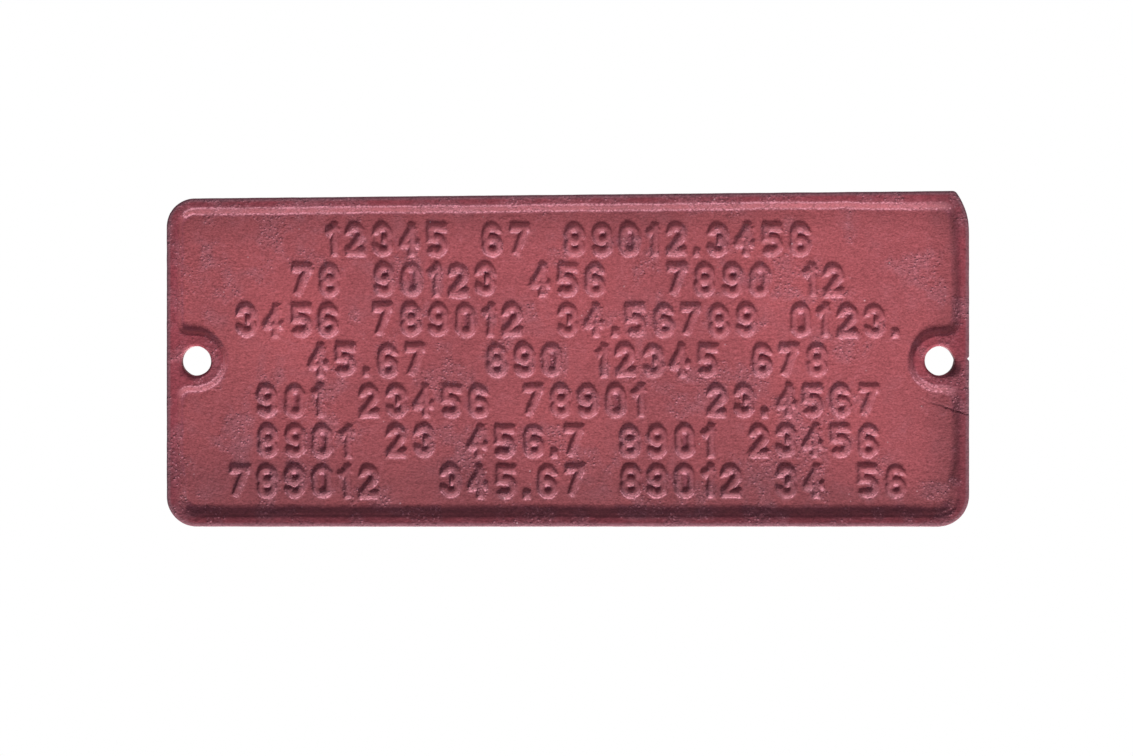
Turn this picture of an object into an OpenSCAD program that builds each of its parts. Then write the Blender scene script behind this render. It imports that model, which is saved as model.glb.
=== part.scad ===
// A cast-iron trust plate for railway rolling stock: a flat web with a raised rim,
// a bolt boss near each end and seven rows of raised, bevelled numerals.
// The plate stands on its long edge as it is bolted to a frame: X runs along it,
// Z is up and its face looks along -Y. The flat back lies on Y = 0, and the origin
// is midway between the two bolt holes.

/* [Plate] */
// Length of the plate, end to end
plate_w = 304.8; // [275:0.2:340]
// Height of the left end
left_end_h = 124.7; // [118:0.1:140]
// Height of the right end, where the top edge runs a little higher
right_end_h = 127.7; // [118:0.1:140]
// Thickness of the web behind the numerals
web_t = 5; // [3:0.1:9]

/* [Corners] */
// Radius of the top left corner
top_left_r = 10.8; // [5:0.2:16]
// Radius of the bottom left corner
bottom_left_r = 10; // [5:0.2:16]
// Radius of the bottom right corner
bottom_right_r = 12; // [5:0.2:16]
// Radius of the tight turn at the top right corner
top_right_r = 2.3; // [1:0.1:5]
// Radius of the long worn curve below that turn
worn_curve_r = 25.5; // [12:0.5:40]
// Angle that the worn curve turns through
worn_curve_angle = 35; // [15:1:50]

/* [Rim] */
// Height of the rim and of the bosses above the web
rim_h = 2.4; // [1:0.1:5]
// Width of the rim's flat top
rim_top_w = 3.2; // [2:0.1:5]
// Width of the rim's inner slope
rim_slope_w = 2.4; // [1:0.1:4]

/* [Bolt holes] */
// Distance from each end of the plate to the centre of its bolt hole
hole_inset = 11.25; // [9:0.05:16]
// Diameter of each bolt hole
hole_d = 11; // [7:0.1:14]
// Width of the bevel round the mouth of each hole
hole_bevel = 0.7; // [0.2:0.1:1.5]
// Width of a boss's flat ring round its hole
boss_ring_w = 3.9; // [2.5:0.1:5]
// Width of a boss's slope
boss_slope_w = 3.1; // [1.5:0.1:4]

/* [Numerals] */
// Height of a numeral
numeral_h = 12.7; // [10:0.1:14]
// Width of a round numeral such as 0
numeral_w = 8.2; // [7.6:0.1:9]
// Width of a narrow numeral 1
narrow_w = 5.2; // [4.5:0.1:6.5]
// Width of a stroke where it meets the web
stroke_foot_w = 3.3; // [2.4:0.1:3.8]
// Width of the narrow crest along a stroke
stroke_crest_w = 0.8; // [0.4:0.1:1.4]
// Height of a stroke above the web
stroke_h = 1.7; // [0.8:0.1:2.4]
// Width of the blank between two groups of numerals
blank_w = 8.2; // [6:0.1:10]
// Clear space between the longest row and each end of the plate
row_end_space = 23.7; // [20:0.1:28]
// Least clear space between the rows and the foot of the rim, above and below
row_margin = 4.5; // [2:0.1:7]

/* [Hidden] */
ROWS = [
    "12345 67 89012.3456",
    "78 90123 456  7890 12",
    "3456 789012 34.56789 0123.",
    "45.67  890 12345 678",
    "901 23456 78901  23.4567",
    "8901 23 456.7 8901 23456",
    "789012  345.67 89012 34 56"
];
SIDES = ["top", "right", "bottom", "left"];
$fn = 64;

face_z = web_t + rim_h;
hole_x = plate_w / 2 - hole_inset;
bottom_drop = (left_end_h + right_end_h) / 4;
left_top = left_end_h - bottom_drop;
right_top = right_end_h - bottom_drop;
top_slope = atan2(right_top - left_top, plate_w);
half_w = plate_w / 2;
boss_top_r = hole_d / 2 + boss_ring_w;
arc_step = 7.5;
cut = 1;
thin = 0.001;
iron = [0.56, 0.29, 0.32];
worn_iron = [0.64, 0.36, 0.40];
crest_iron = [0.76, 0.45, 0.50];

// Half sizes of a numeral, measured to the middle of its strokes
half_h = (numeral_h - stroke_foot_w) / 2;
round_half = (numeral_w - stroke_foot_w) / 2;
narrow_half = (narrow_w - stroke_foot_w) / 2;
// Two bowls, one on the other, share a stroke at half height
bowl_overlap = 0.3;
bowl_r = (half_h + bowl_overlap) / 2;
bowl_y = half_h - bowl_r;
corner_y = half_h - round_half;
// A slanting stroke stops short by this, so that its square foot stays in the numeral
tuck = 0.2 * stroke_foot_w;
// Angle by which a bowl runs on before its free end is cut, and room round that cut
end_overrun = 12;
end_margin = 0.2;

// Points along an arc from angle a0 to angle a1
function arc(centre, r, a0, a1) = let (n = max(2, ceil(abs(a1 - a0) / arc_step)))
    [for (i = [0 : n]) let (a = a0 + (a1 - a0) * i / n) centre + r * [cos(a), sin(a)]];

// Height of the top edge at x
function top_y(x) = left_top + (x + half_w) * tan(top_slope);

// Centre of an arc of radius r that touches the top edge, with its centre at x
function under_top(x, r) = [x, top_y(x) - r / cos(top_slope)];

// The plate's outline, anticlockwise from the bottom left corner
function outline_points() = let (
    turn = 90 + top_slope - worn_curve_angle,
    tight_x = half_w - worn_curve_r + (worn_curve_r - top_right_r) * cos(worn_curve_angle),
    tight = under_top(tight_x, top_right_r),
    worn = tight - (worn_curve_r - top_right_r) * [cos(worn_curve_angle), sin(worn_curve_angle)]
) concat(
    arc([bottom_left_r - half_w, bottom_left_r - bottom_drop], bottom_left_r, 180, 270),
    arc([half_w - bottom_right_r, bottom_right_r - bottom_drop], bottom_right_r, 270, 360),
    arc(worn, worn_curve_r, 0, worn_curve_angle),
    arc(tight, top_right_r, worn_curve_angle, worn_curve_angle + turn),
    arc(under_top(top_left_r - half_w, top_left_r), top_left_r, 90 + top_slope, 180)
);

module outline() {
    polygon(outline_points());
}

// The hollow inside the rim, wider at its mouth than at the web
module field_space() {
    hull() {
        translate([0, 0, web_t])
            linear_extrude(thin)
                offset(delta = -rim_top_w - rim_slope_w)
                    outline();
        translate([0, 0, face_z])
            linear_extrude(cut)
                offset(delta = -rim_top_w)
                    outline();
    }
}

// The bolt hole of one end, with its bevelled mouth; side is -1 or 1
module bolt_hole(side) {
    translate([side * hole_x, 0, 0]) {
        translate([0, 0, -cut])
            cylinder(d = hole_d, h = face_z + 2 * cut);
        translate([0, 0, face_z - hole_bevel])
            cylinder(d1 = hole_d, d2 = hole_d + 4 * hole_bevel, h = 2 * hole_bevel);
    }
}

module base_plate() {
    color(iron)
        difference() {
            linear_extrude(web_t)
                outline();
            bolt_hole(-1);
            bolt_hole(1);
        }
}

// The wedge of the plate that one side of the rim fills, mitred at the corners
module side_wedge(side) {
    left = -half_w - cut;
    right = half_w + cut;
    low = -bottom_drop - cut;
    high_left = top_y(left) + cut;
    high_right = top_y(right) + cut;
    reach = (top_y(0) + bottom_drop) / 2;
    middle = reach - bottom_drop;
    inner_left = [left + reach, middle];
    inner_right = [right - reach, middle];
    shapes = [
        [[left, high_left], inner_left, inner_right, [right, high_right]],
        [[right, high_right], inner_right, [right, low]],
        [[left, low], inner_left, inner_right, [right, low]],
        [[left, high_left], inner_left, [left, low]]
    ];
    linear_extrude(face_z + cut)
        polygon(shapes[search([side], SIDES)[0]]);
}

module rim(side) {
    color(worn_iron)
        difference() {
            intersection() {
                translate([0, 0, web_t])
                    linear_extrude(rim_h)
                        outline();
                side_wedge(side);
            }
            field_space();
            bolt_hole(-1);
            bolt_hole(1);
        }
}

module bolt_boss(side) {
    color(worn_iron)
        difference() {
            intersection() {
                translate([side * hole_x, 0, web_t])
                    cylinder(r1 = boss_top_r + boss_slope_w, r2 = boss_top_r, h = rim_h);
                field_space();
            }
            bolt_hole(side);
        }
}

// Section of a stroke: a wide foot, sloping sides and a narrow crest
module stroke_section() {
    polygon([
        [-stroke_foot_w / 2, 0],
        [stroke_foot_w / 2, 0],
        [stroke_crest_w / 2, stroke_h],
        [-stroke_crest_w / 2, stroke_h]
    ]);
}

// A straight stroke from a to b. A free end slopes like the sides, and an end that
// runs on into a bowl is cut square.
module bar(a, b, free_a = true, free_b = true) {
    run = b - a;
    length = norm(run);
    foot = stroke_foot_w / 2;
    crest = stroke_crest_w / 2;
    start = free_a ? foot : 0;
    end = free_b ? foot : 0;
    translate(a)
        rotate(atan2(run.y, run.x))
            intersection() {
                translate([-start, 0, 0])
                    rotate([90, 0, 90])
                        linear_extrude(length + start + end)
                            stroke_section();
                rotate([90, 0, 0])
                    translate([0, 0, -foot])
                        linear_extrude(stroke_foot_w)
                            polygon([
                                [-start, 0],
                                [length + end, 0],
                                [length + (free_b ? crest : 0), stroke_h],
                                [free_a ? -crest : 0, stroke_h]
                            ]);
            }
}

// A round stroke about centre, from angle a0 anticlockwise to angle a1
module bowl(centre, r, a0, a1) {
    translate(centre)
        rotate(a0)
            rotate_extrude(angle = a1 - a0)
                translate([r, 0])
                    stroke_section();
}

// A bowl with one free end, which is cut to a slope like the sides. It turns clockwise
// where the free end lies at the smaller angle.
module open_bowl(centre, r, fixed_end, free_end) {
    turn = abs(free_end - fixed_end);
    lean = (stroke_foot_w - stroke_crest_w) / 2 / stroke_h;
    reach = (r + stroke_foot_w / 2) * sin(end_overrun) + end_margin;
    low = -end_margin;
    high = stroke_h + end_margin;
    translate(centre)
        rotate(fixed_end)
            mirror([0, free_end < fixed_end ? 1 : 0, 0])
                difference() {
                    bowl([0, 0], r, 0, turn + end_overrun);
                    rotate(turn)
                        translate([r - stroke_foot_w / 2 - end_margin, 0, 0])
                            rotate([90, 0, 90])
                                linear_extrude(stroke_foot_w + 2 * end_margin)
                                    polygon([
                                        [-lean * low, low],
                                        [reach, low],
                                        [reach, high],
                                        [-lean * high, high]
                                    ]);
                }
}

module zero() {
    bowl([0, corner_y], round_half, 0, 180);
    bowl([0, -corner_y], round_half, 180, 360);
    for (x = [-round_half, round_half])
        bar([x, -corner_y], [x, corner_y], false, false);
}

module one() {
    bar([narrow_half, -half_h], [narrow_half, half_h]);
    bar([-narrow_half, half_h - 2 * narrow_half], [narrow_half, half_h - tuck]);
}

module two() {
    sweep = -40;
    lip = 190;
    foot_left = [-round_half, -half_h];
    open_bowl([0, corner_y], round_half, sweep, lip);
    bar(round_half * [cos(sweep), sin(sweep)] + [0, corner_y], foot_left + [tuck, tuck]);
    bar(foot_left, [round_half, -half_h]);
}

module three() {
    lip = 190;
    open_bowl([0, bowl_y], bowl_r, -90, lip);
    open_bowl([0, -bowl_y], bowl_r, 90, -lip);
}

module four() {
    stem_x = round_half / 3;
    arm_y = -half_h / 3;
    bar([stem_x, -half_h], [stem_x, half_h]);
    bar([stem_x, half_h - tuck], [-round_half, arm_y]);
    bar([-round_half, arm_y], [round_half, arm_y]);
}

module five() {
    lip = -150;
    five_r = round_half + bowl_overlap;
    centre = [-bowl_overlap, five_r - half_h];
    shoulder = [-round_half, centre.y + five_r];
    bar([-round_half, half_h], [round_half, half_h]);
    bar([-round_half, half_h], shoulder);
    bar(shoulder, [centre.x, shoulder.y], true, false);
    open_bowl(centre, five_r, 90, lip);
}

module six() {
    lip = 0;
    bowl([0, -corner_y], round_half, 0, 360);
    bar([-round_half, -corner_y], [-round_half, corner_y], false, false);
    open_bowl([0, corner_y], round_half, 180, lip);
}

module seven() {
    bar([-round_half, half_h], [round_half, half_h]);
    bar([round_half - tuck, half_h - tuck], [-round_half / 2, tuck - half_h]);
}

module eight() {
    for (y = [-bowl_y, bowl_y])
        bowl([0, y], bowl_r, 0, 360);
}

module point() {
    bar([0, -half_h], [0, -half_h]);
}

module numeral(c) {
    if (c == "0") zero();
    if (c == "1") one();
    if (c == "2") two();
    if (c == "3") three();
    if (c == "4") four();
    if (c == "5") five();
    if (c == "6") six();
    if (c == "7") seven();
    if (c == "8") eight();
    if (c == "9") rotate(180) six();
    if (c == ".") point();
}

// Width of one character
function char_w(c) = c == " " ? blank_w
    : c == "." ? stroke_foot_w
    : c == "1" ? narrow_w
    : numeral_w;

// Width of the first n characters of a row, without gaps
function chars_w(row, n) = n == 0 ? 0 : chars_w(row, n - 1) + char_w(row[n - 1]);

// The gap that makes a row just as long as the plate leaves room for
function fitted_gap(row) =
    (plate_w - 2 * row_end_space - chars_w(row, len(row))) / (len(row) - 1);

numeral_gap = min([for (row = ROWS) fitted_gap(row)]);
field_h = min(left_end_h, right_end_h) - 2 * (rim_top_w + rim_slope_w);
row_pitch = (field_h - numeral_h - 2 * row_margin) / (len(ROWS) - 1);

module numeral_row(k) {
    row = ROWS[k - 1];
    row_w = chars_w(row, len(row)) + (len(row) - 1) * numeral_gap;
    row_y = row_pitch * ((len(ROWS) + 1) / 2 - k);
    color(crest_iron)
        for (i = [0 : len(row) - 1])
            translate([chars_w(row, i) + i * numeral_gap + (char_w(row[i]) - row_w) / 2, row_y, web_t])
                numeral(row[i]);
}

// Turns the plate upright, with its face towards -Y
module upright() {
    rotate([90, 0, 0])
        children();
}

upright() base_plate();
upright() rim("top");  // rim_top
upright() rim("right");  // rim_right
upright() rim("bottom");  // rim_bottom
upright() rim("left");  // rim_left
upright() bolt_boss(-1);  // bolt_boss_left
upright() bolt_boss(1);  // bolt_boss_right
for (k = [1 : len(ROWS)])
    upright() numeral_row(k);
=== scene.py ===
"""Looks of the railroad trust plate: one sand-cast iron plate under worn oxide paint.

The face is a fine sheet that follows the relief of the casting: web, rim, bosses and
numerals run into each other with small fillets, as they do in iron. The sheet is cut
into one closed piece for each part of the model, along lines on which neighbours share
their vertices and normals, so that no seam shows. Plan sizes are in millimetres, with
x to the right and z up, and height is measured from the flat back towards -Y.
"""

import logging
import math
from dataclasses import dataclass, field, replace
from enum import Enum

import bmesh
import bpy
import numpy as np
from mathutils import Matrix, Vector


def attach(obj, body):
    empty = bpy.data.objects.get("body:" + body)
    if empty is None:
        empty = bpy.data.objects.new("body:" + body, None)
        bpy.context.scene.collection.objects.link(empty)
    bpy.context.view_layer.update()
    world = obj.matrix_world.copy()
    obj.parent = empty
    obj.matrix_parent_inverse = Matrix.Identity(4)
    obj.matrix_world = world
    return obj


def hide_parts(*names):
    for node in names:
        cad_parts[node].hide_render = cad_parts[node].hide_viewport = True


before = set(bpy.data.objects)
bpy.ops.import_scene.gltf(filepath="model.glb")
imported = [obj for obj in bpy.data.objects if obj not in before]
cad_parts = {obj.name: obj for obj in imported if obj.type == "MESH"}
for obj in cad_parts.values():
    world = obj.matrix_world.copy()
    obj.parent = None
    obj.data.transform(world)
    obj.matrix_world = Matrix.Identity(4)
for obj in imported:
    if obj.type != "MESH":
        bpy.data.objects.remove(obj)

Field = np.ndarray
Colour = tuple[float, float, float]
Place = tuple[float, float, float]
Span = tuple[float, float]
Line = tuple[tuple[float, float], ...]
Ring = tuple[float, Field]
Skirt = tuple[Field, Field]
Skin = tuple[Field, Field, dict[str, Field]]
log = logging.getLogger("trust_plate")

MM = 0.001
# What each vertex carries for the paint to read: wear, and where painted light and shade go
TRAITS = ("crest", "hollow", "under", "slope_shade", "hollow_and_ledge_shade", "relief", "edge", "shade_dark", "burnt", "painted_shade")
# How fast a stroke falls away past an end that runs on into a bowl
JOINED_FALL = 6.0
# Distance given to places in a bowl's gap that lie well away from both its ends
FAR = 50.0
# Angles of the rings of a rounded edge
ROUND_TURNS = np.radians([18, 36, 54, 72, 90])
# Shares of the way down the outer wall at which the front's rings lie
WALL_SHARES = (0.3, 0.6, 1.0)


class Side(Enum):
    """The two ends of the plate."""

    LEFT = -1
    RIGHT = 1


class Slot(Enum):
    """The material slots that the pieces take their finish from."""

    FIELD = "field_paint"
    RIM = "rim_paint"
    NUMERAL = "numeral_paint"


@dataclass(frozen=True)
class PlateSizes:
    """Sizes of the plate: the CAD model's, but for the rounder bottom left corner."""

    width: float = 304.8
    left_height: float = 124.7
    right_height: float = 127.7
    web: float = 5.0
    top_left_radius: float = 10.8
    bottom_left_radius: float = 11.5
    bottom_right_radius: float = 12.0
    tight_radius: float = 2.3
    worn_radius: float = 25.5
    worn_angle: float = 35.0
    rim_height: float = 2.4
    hole_inset: float = 11.25
    hole_radius: float = 5.5
    rows: int = 7
    row_pitch: float = 15.3

    @property
    def half_width(self) -> float:
        """Half the length of the plate."""
        return self.width / 2

    @property
    def drop(self) -> float:
        """Distance from the bolt holes' line down to the bottom edge."""
        return (self.left_height + self.right_height) / 4

    @property
    def top_slope(self) -> float:
        """Rise of the top edge for each millimetre to the right."""
        return (self.right_height - self.left_height) / self.width

    @property
    def hole_x(self) -> float:
        """Distance of each bolt hole from the middle of the plate."""
        return self.half_width - self.hole_inset

    @property
    def face(self) -> float:
        """Height of the rim's flat top above the back."""
        return self.web + self.rim_height

    def top_at(self, x: Field) -> Field:
        """Height z of the top edge at x."""
        return self.left_height - self.drop + (x + self.half_width) * self.top_slope

    def right_at(self, z: Field) -> Field:
        """Place x of the right edge at z, which the worn curve draws in near the top."""
        turn = math.radians(self.worn_angle)
        swing = self.worn_radius - self.tight_radius
        tight_x = self.half_width - self.worn_radius + swing * math.cos(turn)
        tight_z = self.top_at(tight_x) - self.tight_radius
        centre_z = tight_z - swing * math.sin(turn)
        rise = np.clip(z - centre_z, 0.0, self.worn_radius)
        return self.half_width - self.worn_radius + np.sqrt(self.worn_radius**2 - rise**2)


@dataclass(frozen=True)
class Outline:
    """The plate's outline, which is convex, as a fine polygon."""

    sizes: PlateSizes
    tight_radius: float
    step: float = math.radians(1.0)

    def corners(self) -> list[tuple[float, float, float, float, float]]:
        """The corner arcs, anticlockwise.

        Returns:
            Centre x, centre z, radius, first angle and last angle of each arc.
        """
        s = self.sizes
        half, low = s.half_width, -s.drop
        lean = math.atan(s.top_slope)
        turn = math.radians(s.worn_angle)
        swing = s.worn_radius - self.tight_radius
        tight_x = half - s.worn_radius + swing * math.cos(turn)
        tight_z = s.top_at(tight_x) - self.tight_radius / math.cos(lean)
        worn_x = tight_x - swing * math.cos(turn)
        worn_z = tight_z - swing * math.sin(turn)
        top_x = s.top_left_radius - half
        top_z = s.top_at(top_x) - s.top_left_radius / math.cos(lean)
        left_r, right_r = s.bottom_left_radius, s.bottom_right_radius
        quarter = math.pi / 2
        return [
            (left_r - half, low + left_r, left_r, math.pi, 3 * quarter),
            (half - right_r, low + right_r, right_r, -quarter, 0.0),
            (worn_x, worn_z, s.worn_radius, 0.0, turn),
            (tight_x, tight_z, self.tight_radius, turn, quarter + lean),
            (top_x, top_z, s.top_left_radius, quarter + lean, math.pi),
        ]

    def points(self) -> Field:
        """Points along the outline, anticlockwise."""
        found = []
        for x, z, radius, start, end in self.corners():
            for angle in np.linspace(start, end, max(2, round((end - start) / self.step) + 1)):
                found.append((x + radius * math.cos(angle), z + radius * math.sin(angle)))
        return np.array(found)

    def inset(self, x: Field, z: Field) -> tuple[Field, Field, Field]:
        """Distance from the outline inwards.

        Args:
            x: Places along the plate.
            z: Places up the plate.

        Returns:
            The distance, and the x and z of the nearest side's outward direction.
        """
        points = self.points()
        runs = np.roll(points, -1, axis=0) - points
        lengths = np.hypot(runs[:, 0], runs[:, 1])
        near = np.full(x.shape, np.inf)
        out_x = np.zeros(x.shape)
        out_z = np.zeros(x.shape)
        for point, run, length in zip(points, runs, lengths):
            if length < 1e-6:
                continue
            nx, nz = run[1] / length, -run[0] / length
            distance = (point[0] - x) * nx + (point[1] - z) * nz
            closer = distance < near
            near = np.where(closer, distance, near)
            out_x = np.where(closer, nx, out_x)
            out_z = np.where(closer, nz, out_z)
        return near, out_x, out_z


@dataclass(frozen=True)
class Grain:
    """Seeded smooth noise in the plane, between -1 and 1."""

    seed: int
    pitch: float
    cells: int = 256
    offset: Span = (0.37, 0.61)

    def __call__(self, x: Field, z: Field) -> Field:
        """Noise at the given places, with bumps about one pitch apart."""
        lattice = np.random.default_rng(self.seed).uniform(-1, 1, (self.cells, self.cells))
        u, v = x / self.pitch + self.offset[0], z / self.pitch + self.offset[1]
        i, j = np.floor(u).astype(int), np.floor(v).astype(int)
        fu, fv = u - i, v - j
        fu, fv = fu * fu * (3 - 2 * fu), fv * fv * (3 - 2 * fv)
        i0, i1 = i % self.cells, (i + 1) % self.cells
        j0, j1 = j % self.cells, (j + 1) % self.cells
        low = lattice[j0, i0] * (1 - fu) + lattice[j0, i1] * fu
        high = lattice[j1, i0] * (1 - fu) + lattice[j1, i1] * fu
        return low * (1 - fv) + high * fv


def soft_rise(t: Field, soft: float) -> Field:
    """Zero below 0 and t above it, with the corner rounded over the width soft."""
    return np.where(t < -soft, 0.0, np.where(t > soft, t, (t + soft) ** 2 / (4 * soft)))


def soft_step(t: Field, soft: float) -> Field:
    """A ramp from 0 to 1 with rounded foot and crest."""
    return soft_rise(t, soft) - soft_rise(t - 1, soft)


def share(value: Field, start: float, end: float) -> Field:
    """Goes smoothly from 0 at start to 1 at end."""
    t = np.clip((value - start) / (end - start), 0, 1)
    return t * t * (3 - 2 * t)


def soft_max(a: Field, b: Field, blend: float) -> Field:
    """The larger of two fields, with a fillet where they cross."""
    return np.maximum(a, b) + np.maximum(blend - np.abs(a - b), 0) ** 2 / (4 * blend)


@dataclass(frozen=True)
class StrokeSizes:
    """Sizes of a numeral and its strokes in plan, as the CAD model has them."""

    height: float = 12.7
    round_width: float = 8.2
    narrow_width: float = 5.2
    foot: float = 3.3
    blank: float = 8.2
    end_space: float = 23.7
    overlap: float = 0.3

    @property
    def half_height(self) -> float:
        """Half the height between the middles of the top and bottom strokes."""
        return (self.height - self.foot) / 2

    @property
    def half_round(self) -> float:
        """Half the width between the middles of a round numeral's sides."""
        return (self.round_width - self.foot) / 2

    @property
    def half_narrow(self) -> float:
        """Half the width between the middles of a narrow numeral's sides."""
        return (self.narrow_width - self.foot) / 2

    @property
    def tuck(self) -> float:
        """How far a slanting stroke stops short of the numeral's corner."""
        return 0.2 * self.foot

    def width_of(self, character: str) -> float:
        """Width that a character takes in its row."""
        widths = {" ": self.blank, ".": self.foot, "1": self.narrow_width}
        return widths.get(character, self.round_width)


@dataclass(frozen=True)
class Bar:
    """A straight stroke. A free end slopes like the sides; a joined end runs on into a bowl."""

    start: tuple[float, float]
    end: tuple[float, float]
    free_start: bool = True
    free_end: bool = True

    def reach(self, x: Field, z: Field, half_foot: float) -> Field:
        """Distance from the stroke's middle line, square about its ends.

        Args:
            x: Places across the numeral.
            z: Places up the numeral.
            half_foot: Half the width of the stroke's foot.

        Returns:
            The distance, which is half_foot where the slope meets the web.
        """
        run = np.subtract(self.end, self.start)
        length = float(np.hypot(*run))
        ux, uz = run / length if length > 0 else (1.0, 0.0)
        along = (x - self.start[0]) * ux + (z - self.start[1]) * uz
        across = np.abs((z - self.start[1]) * ux - (x - self.start[0]) * uz)
        for past, is_free in ((-along, self.free_start), (along - length, self.free_end)):
            joined = across + JOINED_FALL * np.maximum(past, 0)
            across = np.maximum(across, past) if is_free else joined
        return across


@dataclass(frozen=True)
class Bowl:
    """A round stroke from one angle anticlockwise to another, in degrees."""

    centre: tuple[float, float]
    radius: float
    start: float = 0.0
    end: float = 360.0
    free_start: bool = False
    free_end: bool = False

    def reach(self, x: Field, z: Field, half_foot: float) -> Field:
        """Distance from the stroke's middle line, as for a Bar."""
        dx, dz = x - self.centre[0], z - self.centre[1]
        from_centre = np.hypot(dx, dz)
        across = np.abs(from_centre - self.radius)
        sweep = math.radians(self.end - self.start)
        if sweep >= 2 * math.pi - 1e-6:
            return across
        turned = np.mod(np.arctan2(dz, dx) - math.radians(self.start), 2 * math.pi)
        before = np.where(turned > math.pi + sweep / 2, 2 * math.pi - turned, -turned)
        after = turned - sweep
        after = np.where(after > math.pi - sweep / 2, after - 2 * math.pi, after)
        beyond = (turned > sweep) & (np.minimum(np.abs(before), np.abs(after)) > math.pi / 2)
        for past, is_free in ((before, self.free_start), (after, self.free_end)):
            near = np.abs(past) < math.pi / 2
            step = np.where(near, from_centre * np.sin(np.clip(past, -1.57, 1.57)), -9.0)
            joined = across + JOINED_FALL * np.maximum(step, 0)
            across = np.maximum(across, step + half_foot) if is_free else joined
        return np.where(beyond, FAR, across)


@dataclass(frozen=True)
class Numerals:
    """The plain running numerals of the seven rows, in ten simple shapes."""

    sizes: StrokeSizes = StrokeSizes()
    rows: tuple[str, ...] = (
        "12345 67 89012.3456",
        "78 90123 456  7890 12",
        "3456 789012 34.56789 0123.",
        "45.67  890 12345 678",
        "901 23456 78901  23.4567",
        "8901 23 456.7 8901 23456",
        "789012  345.67 89012 34 56",
    )

    def strokes(self, character: str) -> list[Bar | Bowl]:
        """The strokes of one character, about its middle."""
        s = self.sizes
        high, wide, narrow, tuck = s.half_height, s.half_round, s.half_narrow, s.tuck
        corner = high - wide
        bowl = (high + s.overlap) / 2
        bowl_z = high - bowl
        sweep = math.radians(-40)
        neck = (wide * math.cos(sweep), wide * math.sin(sweep) + corner)
        five = wide + s.overlap
        five_centre = (-s.overlap, five - high)
        shoulder = five_centre[1] + five
        shapes = {
            "0": [
                Bowl((0, corner), wide, 0, 180),
                Bowl((0, -corner), wide, 180, 360),
                Bar((-wide, -corner), (-wide, corner), False, False),
                Bar((wide, -corner), (wide, corner), False, False),
            ],
            "1": [
                Bar((narrow, -high), (narrow, high)),
                Bar((-narrow, high - 2 * narrow), (narrow, high - tuck)),
            ],
            "2": [
                Bowl((0, corner), wide, -40, 190, False, True),
                Bar(neck, (tuck - wide, tuck - high)),
                Bar((-wide, -high), (wide, -high)),
            ],
            "3": [
                Bowl((0, bowl_z), bowl, -90, 190, False, True),
                Bowl((0, -bowl_z), bowl, -190, 90, True, False),
            ],
            "4": [
                Bar((wide / 3, -high), (wide / 3, high)),
                Bar((wide / 3, high - tuck), (-wide, -high / 3)),
                Bar((-wide, -high / 3), (wide, -high / 3)),
            ],
            "5": [
                Bar((-wide, high), (wide, high)),
                Bar((-wide, high), (-wide, shoulder)),
                Bar((-wide, shoulder), (five_centre[0], shoulder), True, False),
                Bowl(five_centre, five, -150, 90, True, False),
            ],
            "6": [
                Bowl((0, -corner), wide),
                Bar((-wide, -corner), (-wide, corner), False, False),
                Bowl((0, corner), wide, 0, 180, True, False),
            ],
            "7": [
                Bar((-wide, high), (wide, high)),
                Bar((wide - tuck, high - tuck), (-wide / 2, tuck - high)),
            ],
            "8": [Bowl((0, bowl_z), bowl), Bowl((0, -bowl_z), bowl)],
            "9": [
                Bowl((0, corner), wide),
                Bar((wide, -corner), (wide, corner), False, False),
                Bowl((0, -corner), wide, 180, 360, True, False),
            ],
            ".": [Bar((0, -high), (0, -high))],
        }
        return shapes[character]

    def places(self, plate: PlateSizes) -> list[tuple[str, float, float]]:
        """Every character with the x and z of its middle."""
        s = self.sizes
        room = plate.width - 2 * s.end_space
        widths = [[s.width_of(c) for c in row] for row in self.rows]
        gap = min((room - sum(w)) / (len(w) - 1) for w in widths)
        found = []
        for number, (row, wide) in enumerate(zip(self.rows, widths), start=1):
            z = plate.row_pitch * ((len(self.rows) + 1) / 2 - number)
            left = -(sum(wide) + gap * (len(wide) - 1)) / 2
            for character, width in zip(row, wide):
                if character != " ":
                    found.append((character, left + width / 2, z))
                left += width + gap
        return found


@dataclass(frozen=True)
class Spots:
    """Round pits, or lumps where the depth is below zero, scattered over the plate."""

    count: int
    radii: Span
    depths: Span


@dataclass(frozen=True)
class Wear:
    """How far this casting strays from its pattern."""

    tilt: float = 1.3
    shift: float = 0.14
    fade: float = 0.16
    ragged: float = 0.19
    soft: float = 0.3
    half_stroke: float = 1.72
    flank: float = 0.85
    rise: float = 1.0
    dome: float = 0.45
    pits: Spots = Spots(420, (0.28, 0.62), (0.05, 0.17))
    lumps: Spots = Spots(520, (0.35, 1.0), (-0.11, -0.03))
    pattern_corner: float = 9.5
    right_end: Span = (128, 144)
    crown_middle: float = 2.3
    crown_drop: float = 0.2
    tilt_start: float = 1.4
    tilt_width: float = 3.2
    rim_middle: float = 4.75
    rim_slope: float = 2.2
    left_slope: float = 1.7
    right_shift: float = 0.2
    top_shift: float = 0.35
    bottom_shift: float = 1.35
    bottom_widening: float = 1.4
    top_drift: float = 0.6
    bottom_tilt: float = 0.13
    boss_middle: float = 10.7
    boss_slope: float = 1.9
    fillet: float = 2.6
    crack: Line = (
        (135.6, -15.0),
        (136.7, -15.6),
        (138.2, -15.8),
        (140.1, -16.7),
        (142.0, -16.9),
        (143.6, -17.8),
        (145.3, -18.1),
        (146.7, -18.9),
        (148.8, -19.4),
        (150.3, -20.2),
        (152.6, -20.4),
    )
    hairline: Line = (
        (146.4, -0.4),
        (148.1, -0.6),
        (149.7, 0.1),
        (151.0, 0.2),
        (152.6, 0.7),
    )
    crack_depth: float = 0.55
    crack_width: float = 0.31
    hairline_share: float = 0.2
    crumbled_at: Span = (147.5, -20.5)
    crumbled_reach: Span = (2.6, 5.0)
    crumbled_depth: float = 0.34


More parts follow.
